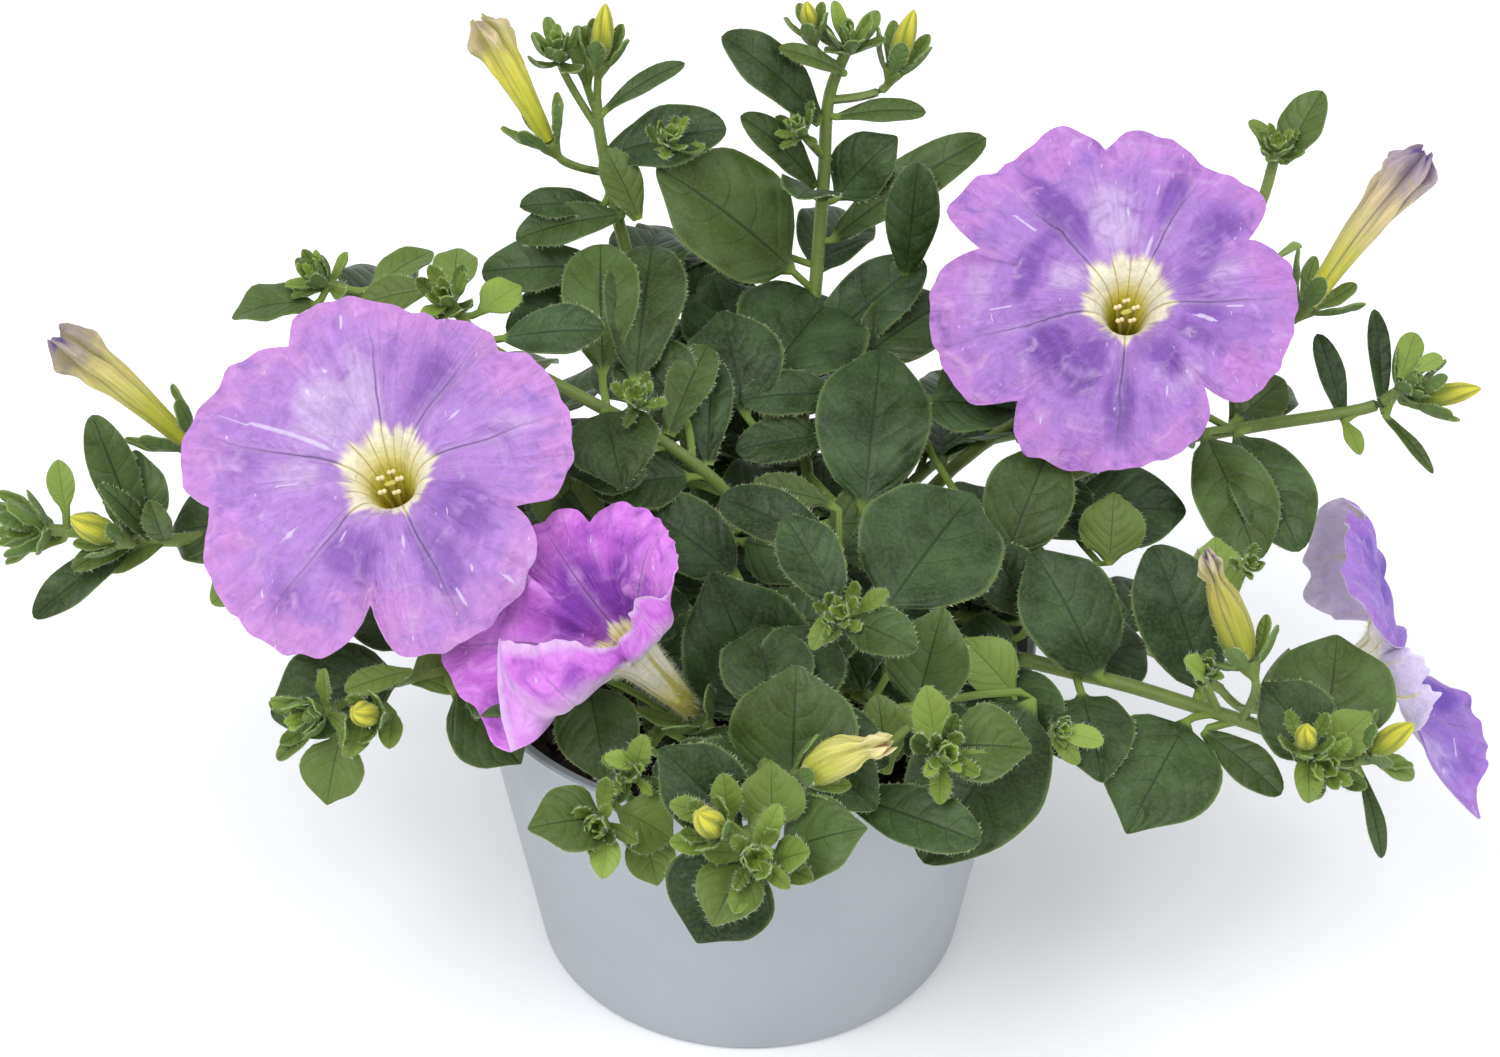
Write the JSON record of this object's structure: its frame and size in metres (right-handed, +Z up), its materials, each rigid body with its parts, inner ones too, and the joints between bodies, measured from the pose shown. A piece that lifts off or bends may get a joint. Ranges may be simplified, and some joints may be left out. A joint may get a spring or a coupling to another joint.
{
  "type": "potted petunia",
  "caption": "Bushy petunia with funnel-shaped lavender flowers, yellow buds and sage-green leaves, growing in a plain round tapered plastic pot filled with soil.",
  "frame": {"origin": "centre of the pot's flat underside", "axes": "+Z up through the pot, -Y towards the viewer of the picture, +X to the picture's right"},
  "size_m": [0.3162, 0.2283, 0.188],
  "materials": {
    "pot_plastic": "satin, pale cool grey",
    "potting_soil": "matt, crumbly, damp dark brown",
    "foliage": "velvety matt with fine white hairs",
    "lavender_petals": "soft satin, mottled and flecked white",
    "magenta_petals": "soft satin",
    "spent_petals": "dry and crinkled",
    "bud_petals": "matt, furrowed",
    "stamens": "matt, powdery"
  },
  "bodies": {
    "root": {"pot": "pot_plastic", "corolla_left": "lavender_petals", "stamens_left": "stamens", "corolla_right": "lavender_petals", "stamens_right": "stamens", "corolla_half_open": "magenta_petals", "stamens_half_open": "stamens", "corolla_far_right": "lavender_petals", "stamens_far_right": "stamens", "spent_flower_left": "spent_petals", "spent_flower_back_left": "spent_petals", "spent_flower_right": "spent_petals", "spent_flower_right_front": "spent_petals", "spent_flower_front": "spent_petals", "bud_left": "bud_petals", "bud_left_front": "bud_petals", "bud_front": "bud_petals", "bud_right_front": "bud_petals", "bud_right_front_outer": "bud_petals", "bud_right": "bud_petals", "bud_back": "bud_petals", "bud_back_inner": "bud_petals", "bud_back_left": "bud_petals", "shoot_front": "foliage", "shoot_front_left": "foliage", "shoot_front_right": "foliage", "shoot_left_front": "foliage", "shoot_left": "foliage", "shoot_right_front": "foliage", "shoot_right_low": "foliage", "shoot_right": "foliage", "shoot_right_back": "foliage", "shoot_right_hidden": "foliage", "shoot_centre": "foliage", "shoot_inner_left": "foliage", "shoot_inner_right": "foliage", "shoot_centre_back": "foliage", "shoot_centre_left": "foliage", "shoot_back_left": "foliage", "shoot_back_left_tall": "foliage", "shoot_back_tall": "foliage", "shoot_side_left": "foliage", "shoot_behind_left": "foliage", "shoot_behind": "foliage", "shoot_behind_right": "foliage", "soil": "potting_soil"}
  },
  "joints": []
}
